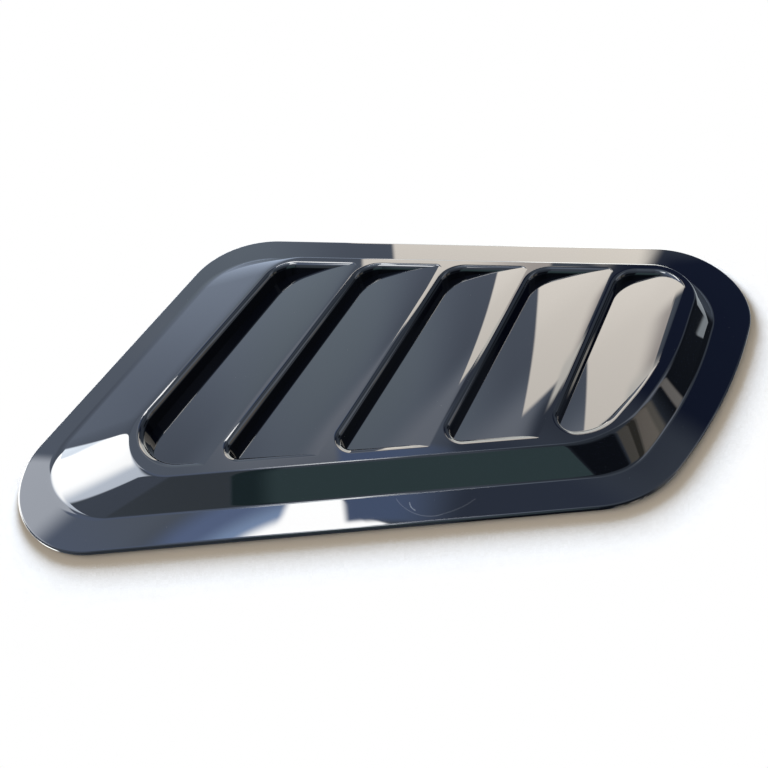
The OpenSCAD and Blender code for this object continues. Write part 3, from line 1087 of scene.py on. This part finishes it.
@dataclass(frozen=True)
class MouldedInside:
    """The satin face that the mould leaves underneath."""

    name: str = "moulded_inside"
    colour: tuple[float, float, float] = (0.016, 0.016, 0.018)
    dust: tuple[float, float, float] = (0.3, 0.3, 0.29)
    roughness: float = 0.42
    speck_size: float = 4.0
    speck_share: float = 0.1
    speck_radius: float = 0.08
    pore_size: float = 0.5
    pore_detail: float = 3.0
    pore_dullness: float = 0.16
    pore_height: float = 0.02

    def material(self, groups: ShaderGroups) -> bpy.types.Material:
        """Builds the finish.

        Args:
            groups: The shared node groups.

        Returns:
            The material.
        """
        made, wiring = new_finish(self.name)
        point = wiring.add("ShaderNodeTexCoord").outputs["Object"]
        pores = groups.place(wiring, groups.grain, point=point, size=self.pore_size,
                             detail=self.pore_detail)
        specks = groups.place(wiring, groups.specks, point=point, size=self.speck_size,
                              share=self.speck_share, radius=self.speck_radius)
        shader = wiring.add("ShaderNodeBsdfPrincipled")
        wiring.feed(shader.inputs["Base Color"], wiring.mix(specks, self.colour, self.dust))
        wiring.feed(shader.inputs["Roughness"],
                    wiring.sum("ADD", wiring.sum("MULTIPLY", pores, self.pore_dullness), self.roughness))
        rise = wiring.sum("MULTIPLY", pores, self.pore_height * MM)
        wiring.feed(shader.inputs["Normal"], wiring.bump(rise))
        wiring.add("ShaderNodeOutputMaterial", shader.outputs[0])
        return made


@dataclass(frozen=True)
class RoomPatch:
    """A soft-edged patch of the studio, by its directions in degrees and its colour in the gloss.

    Azimuth 0 is straight behind the trim and grows to the right; elevation 90 is overhead. The
    sides may lean: they move by so many degrees for each degree above the patch's low edge.
    """

    name: str
    left: float
    right: float
    low: float
    high: float
    colour: tuple[int, int, int]
    left_blur: float = 2.0
    right_blur: float = 2.0
    edge_blur: float = 2.0
    left_lean: float = 0.0
    right_lean: float = 0.0

    def reaches(self, first: float, last: float) -> bool:
        """Says whether any of the patch lies between two azimuths."""
        rise = self.high - self.low + self.edge_blur
        begin = min(self.left, self.left + self.left_lean * rise) - self.left_blur
        end = max(self.right, self.right + self.right_lean * rise) + self.right_blur
        return begin < last and end > first


ROOM = (
    RoomPatch("table in front", -200, 200, -91, 0, (42, 46, 51), edge_blur=6),
    RoomPatch("table beyond the trim", -92, 92, -91, 0, (172, 173, 172), 8, 8, 6),
    RoomPatch("dark corner on the right", 30, 158, -91, 52, (42, 47, 54), 8, 8, 24),
    RoomPatch("dark floor on the right", 62, 92, -91, 18, (8, 10, 13), 10, 10, 14),
    RoomPatch("grey wall on the right", 81, 98, 12, 50, (84, 89, 97), 8, 3, 16),
    RoomPatch("strip of light low on the right", 38, 72, -36, -5.5, (78, 82, 85), 1, 0.5, 0.3),
    RoomPatch("brown door", 91.5, 115.5, -91, 22, (63, 61, 57), 1.5, 2, 8),
    RoomPatch("bright panel of the door", 93.5, 100, -91, 20, (78, 74, 69), 1, 1, 8),
    RoomPatch("dark gap in the door", 101.5, 107, -91, 22, (36, 35, 31), 1.5, 1.5, 8),
    RoomPatch("frame of the door", 84.8, 87.2, -91, 16, (74, 72, 70), 0.8, 0.8, 8),
    RoomPatch("dark shelf", 117, 154, -91, 27, (10, 12, 15), 4, 8, 12),
    RoomPatch("green wall behind the viewer", 154, 200, -3, 30, (45, 58, 60), 1, 1, 10),
    RoomPatch("green wall on its left", -200, -174.5, -3, 30, (45, 58, 60), 1, 1, 10),
    RoomPatch("wall beside it", -174.3, -160, -3, 42, (51, 56, 61), 0.5, 2, 8),
    RoomPatch("dark edge of the green wall", -177.3, -174.3, -3, 42, (26, 37, 39), 2.5, 0.5, 8),
    RoomPatch("floor on the left", -162, -104, -6, 45, (62, 68, 78), 20, 12, 10),
    RoomPatch("slate wall", -58.7, 12, -30, 62, (80, 87, 98), 1, 2, 5),
    RoomPatch("shade along the wall's left", -62, -39, -30, 42, (66, 72, 82), 4, 14, 14),
    RoomPatch("lit middle of the wall", -32, -14, 20, 45, (85, 93, 101), 14, 18, 18),
    RoomPatch("lit top of the wall", -28, 3, 47, 61.5, (98, 103, 112), 14, 8, 6),
    RoomPatch("shade beside the doorway", -12, 6, -60, 46, (68, 74, 84), 12, 12, 6),
    RoomPatch("dark lintel", 2, 44, 50.2, 57, (44, 49, 58), 14, 12, 4),
    RoomPatch("navy ceiling edge", 10, 46, 57.5, 68, (42, 48, 60), 16, 14, 5),
    RoomPatch("navy cloth", 25, 48, 37, 51, (14, 19, 33), 8, 8, 3),
    RoomPatch("pale side of the doorway", -2.6, 18.5, -4, 49.6, (196, 190, 182), 0.6, 0.6, 0.9),
    RoomPatch("bright middle of the doorway", -2.6, 12, 34, 40, (200, 194, 186), 0.6, 8, 4),
    RoomPatch("shaded right of the doorway", 14, 19.5, 42, 49.6, (146, 140, 136), 9, 0.6, 2),
    RoomPatch("shade at its foot", 0, 26, -4, 33, (160, 161, 158), 6, 6, 9),
    RoomPatch("pale top of the doorway", 9, 26, 47.6, 52, (178, 175, 169), 3, 3, 2),
    RoomPatch("pale edge of the doorway", 18, 25, 37, 41.6, (196, 190, 181), 1, 3, 1),
    RoomPatch("wall round the window", -84.7, -58.7, 30, 46, (184, 192, 204), 2.5, 1, 5, left_lean=-2.3),
    RoomPatch("window", -89, -58.7, 5, 42, (253, 254, 255), 14, 1, 6),
    RoomPatch("pale frame of the window", -63, -56.8, 9, 19, (190, 198, 208), 2, 1, 3, right_lean=-0.2),
    RoomPatch("blue glow under the lamp", -46, -20, 61.8, 64.5, (86, 100, 130), 14, 6, 2),
    RoomPatch("bright glow under the lamp", -44, -18, 64, 67, (120, 140, 172), 14, 6, 1.5),
    RoomPatch("ceiling", -200, 200, 70, 95, (90, 98, 110), edge_blur=8),
    RoomPatch("ceiling on the left", -172, -50, 50, 80, (80, 89, 107), 20, 20, 10),
    RoomPatch("pale corner by the window", -90, -58, 44.5, 55.5, (160, 165, 174), 5, 2, 2, right_lean=1.6),
    RoomPatch("lamp behind the viewer", -200, -160, 67, 84, (244, 248, 252), 1, 10, 6),
    RoomPatch("lamp's other half", 162, 200, 67, 84, (244, 248, 252), 6, 1, 6),
    RoomPatch("lamp overhead", -34, -1, 71, 91, (246, 250, 254), 2, 2, 3),
    RoomPatch("long lamp", -16.8, -12.2, 62.8, 71.5, (272, 272, 272), 2.5, 1, 1, -2, 2),
    RoomPatch("left end of the long lamp", -31, -18, 65.2, 71.5, (272, 272, 272), 5, 1, 1),
    RoomPatch("blue ceiling beside the long lamp", -8.2, 9, 60, 66.75, (70, 83, 109), 2, 16, 0.7),
    RoomPatch("right end of the long lamp", -9.5, -1.5, 66.75, 71.5, (272, 272, 272), 1, 2, 0.5,
              right_lean=8),
)


def linear(colour: tuple[int, int, int]) -> tuple[float, float, float]:
    """Turns a screen colour from 0 to 255 into linear light."""
    shares = [value / 255 for value in colour]
    return tuple(v / 12.92 if v <= 0.04045 else ((v + 0.055) / 1.055) ** 2.4 for v in shares)


class Sky:
    """The directions that the room is painted by."""

    def __init__(self, wiring: Wiring, groups: ShaderGroups) -> None:
        """Works out the azimuth and the elevation of each ray."""
        self.wiring = wiring
        self.groups = groups
        way = wiring.add("ShaderNodeTexCoord").outputs["Generated"]
        x, y, z = wiring.add("ShaderNodeSeparateXYZ", way).outputs
        self.azimuth = wiring.sum("DEGREES", wiring.sum("ARCTAN2", x, y))
        self.elevation = wiring.sum("DEGREES", wiring.sum("ARCSINE", z))

    def mask(self, patch: RoomPatch) -> bpy.types.NodeSocket:
        """Gives the mask of one patch."""
        return self.groups.place(
            self.wiring, self.groups.patch, azimuth=self.azimuth, elevation=self.elevation,
            left=patch.left, right=patch.right, low=patch.low, high=patch.high,
            left_blur=patch.left_blur, right_blur=patch.right_blur, edge_blur=patch.edge_blur,
            left_lean=patch.left_lean, right_lean=patch.right_lean)


@dataclass(frozen=True)
class Studio:
    """The camera, the pale floor and the room that lights the trim and shows in its gloss."""

    focal: float = 30.47
    sensor: float = 36.0
    target: tuple[float, float, float] = (-0.017635, -0.006388, 0.0)
    distance: float = 0.3323
    clip: tuple[float, float] = (0.01, 50.0)
    pitch: float = 54.875
    gloss_gain: float = 8.7
    wall: tuple[int, int, int] = (60, 66, 74)
    sectors: tuple[float, ...] = (-181, -158, -100, -62, -33, -6, 28, 60, 90, 118, 156, 181)
    floor_size: float = 4.0
    floor_gap: float = 0.0001
    paint: tuple[float, float, float] = (0.82, 0.80, 0.76)
    shade: tuple[float, float, float] = (0.30, 0.24, 0.17)
    shade_way: tuple[float, float, float] = (-0.45, 0.85, 0.28)
    shade_reach: float = 0.024
    shade_limits: tuple[float, float] = (0.8, 0.965)
    shade_samples: int = 32
    open_enough: float = 0.98

    def camera(self) -> None:
        """Sets up the camera of the photograph."""
        data = bpy.data.cameras.new("camera")
        data.lens, data.sensor_width = self.focal, self.sensor
        data.clip_start, data.clip_end = self.clip
        made = bpy.data.objects.new("camera", data)
        tilt = math.radians(self.pitch)
        made.location = (self.target[0], self.target[1] - self.distance * math.cos(tilt),
                         self.distance * math.sin(tilt))
        made.rotation_euler = (math.pi / 2 - tilt, 0.0, 0.0)
        bpy.context.scene.collection.objects.link(made)
        bpy.context.scene.camera = made

    def floor(self) -> None:
        """Lays the floor, white to the camera except for the warm shade in front of the trim.

        From below it is clear, so that the hollow underside can be looked at.
        """
        half = self.floor_size / 2
        mesh = bpy.data.meshes.new("floor")
        corners = [(-half, -half), (half, -half), (half, half), (-half, half)]
        mesh.from_pydata([(x, y, -self.floor_gap) for x, y in corners], [], [(0, 1, 2, 3)])
        material, wiring = new_finish("pale_floor")
        towards = wiring.add("ShaderNodeCombineXYZ", *self.shade_way)
        open_sky = wiring.add("ShaderNodeAmbientOcclusion", samples=self.shade_samples)
        open_sky.inputs["Distance"].default_value = self.shade_reach
        wiring.feed(open_sky.inputs["Normal"], towards.outputs[0])
        clear = wiring.add("ShaderNodeMapRange", open_sky.outputs["AO"], *self.shade_limits,
                           interpolation_type="SMOOTHSTEP")
        seen = wiring.add("ShaderNodeLightPath").outputs["Is Camera Ray"]
        tone = wiring.mix(clear.outputs[0], self.shade, self.paint)
        paint = wiring.add("ShaderNodeBsdfDiffuse", wiring.mix(seen, self.paint, tone))
        white = wiring.add("ShaderNodeEmission", (1.0, 1.0, 1.0, 1.0), 1.0)
        far = wiring.sum("MULTIPLY", wiring.sum("GREATER_THAN", clear.outputs[0], self.open_enough), seen)
        both = wiring.add("ShaderNodeMixShader", far, paint.outputs[0], white.outputs[0])
        below = wiring.add("ShaderNodeNewGeometry").outputs["Backfacing"]
        glass = wiring.add("ShaderNodeBsdfTransparent")
        floor = wiring.add("ShaderNodeMixShader", below, both.outputs[0], glass.outputs[0])
        wiring.add("ShaderNodeOutputMaterial", floor.outputs[0])
        mesh.materials.append(material)
        made = bpy.data.objects.new("floor", mesh)
        bpy.context.scene.collection.objects.link(made)
        made.visible_glossy = False

    def sector(self, sky: Sky, limits: tuple[float, ...]) -> bpy.types.NodeSocket:
        """Paints the room between some azimuths.

        Each sector reads only its own patches, which keeps the room quick to render.

        Args:
            sky: The directions and the tree that paints them.
            limits: The azimuths that part the sectors.

        Returns:
            The shader of all the sectors.
        """
        if len(limits) == 2:
            colour: object = linear(self.wall)
            for patch in ROOM:
                if patch.reaches(*limits):
                    colour = sky.wiring.mix(sky.mask(patch), colour, linear(patch.colour))
            return sky.wiring.add("ShaderNodeBackground", colour, self.gloss_gain).outputs[0]
        middle = len(limits) // 2
        beyond = sky.wiring.sum("GREATER_THAN", sky.azimuth, limits[middle])
        sides = [self.sector(sky, limits[:middle + 1]), self.sector(sky, limits[middle:])]
        return sky.wiring.add("ShaderNodeMixShader", beyond, *sides).outputs[0]

    def room(self, groups: ShaderGroups) -> None:
        """Paints the room round the trim, and white behind it for the camera."""
        world = bpy.data.worlds.new("room")
        world.use_nodes = True
        world.node_tree.nodes.clear()
        wiring = Wiring(world.node_tree)
        lit = self.sector(Sky(wiring, groups), self.sectors)
        white = wiring.add("ShaderNodeBackground", (1.0, 1.0, 1.0, 1.0), 1.0)
        seen = wiring.add("ShaderNodeLightPath").outputs["Is Camera Ray"]
        both = wiring.add("ShaderNodeMixShader", seen, lit, white.outputs[0])
        wiring.add("ShaderNodeOutputWorld", both.outputs[0])
        bpy.context.scene.world = world

    def build(self, groups: ShaderGroups) -> None:
        """Sets up everything round the trim."""
        self.camera()
        self.floor()
        self.room(groups)
        bpy.context.scene.view_settings.view_transform = "Standard"
        log.info("studio: %d patches", len(ROOM))


class VentTrim:
    """The whole moulding, as one closed piece."""

    def __init__(self) -> None:
        """Takes the sizes of the panel and its louvres."""
        self.panel = Panel()
        self.louvres = Louvres(self.panel)

    def skin(self, gloss: bpy.types.Material) -> Skin:
        """Builds every patch of the moulding's surface, with the gloss on the swept ones."""
        panel, louvres = self.panel, self.louvres
        skin = Skin()
        blended, rolled = BlendedWall(), RolledWall()
        skin.add_mesh(blended.swept_mesh(
            chain_mesh(panel.chains(), closed=True), {"Steps": panel.blend_steps, "Material": gloss}))
        skin.add_mesh(rolled.swept_mesh(
            chain_mesh([panel.edge_chain()], closed=True),
            {"Steps": panel.blend_steps, "Lip radius": panel.rim_edge_r * MM, "Draft": 0.0,
             "Material": gloss}))
        pockets = range(louvres.count)
        skin.add_mesh(rolled.swept_mesh(
            chain_mesh([louvres.chain(i) for i in pockets], closed=False),
            {"Steps": louvres.wall_steps, "Lip radius": louvres.lip_r * MM,
             "Draft": math.radians(louvres.draft), "Material": gloss}))
        mouths = [louvres.mouth(i) for i in pockets]
        skin.add_sheet(panel.land_edge().points, mouths, np.empty((0, 2)),
                       lambda plan: (np.full(len(plan), panel.top_z), np.tile(UP, (len(plan), 1))))
        for i in pockets:
            outline = louvres.blade_outline(i)
            skin.add_sheet(outline, [], louvres.blade_points(i, outline),
                           lambda plan, i=i: louvres.blade_surface(i, plan))
        Underside(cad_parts[NODE], panel.centre()).add_to(skin, panel.stations(panel.rim).points)
        return skin

    def build(self, groups: ShaderGroups) -> bpy.types.Object:
        """Makes the piece, puts it on its body and dresses it.

        Args:
            groups: The shader node groups that the finishes use.

        Returns:
            The finished piece.
        """
        materials = [GlossBlack().material(groups), MouldedInside().material(groups)]
        mesh = self.skin(materials[Surface.OUTSIDE.value]).mesh("trim_skin", self.panel.centre(), materials)
        piece = bpy.data.objects.new("trim_skin", mesh)
        bpy.context.scene.collection.objects.link(piece)
        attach(piece, BODY)
        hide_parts(NODE)
        log.info("%s: %d faces", piece.name, len(mesh.polygons))
        return piece


def main() -> None:
    """Builds the trim and the studio round it."""
    logging.basicConfig(level=logging.INFO, format="%(name)s %(message)s")
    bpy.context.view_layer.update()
    groups = ShaderGroups()
    Studio().build(groups)
    VentTrim().build(groups)


if __name__ == "__main__":
    main()
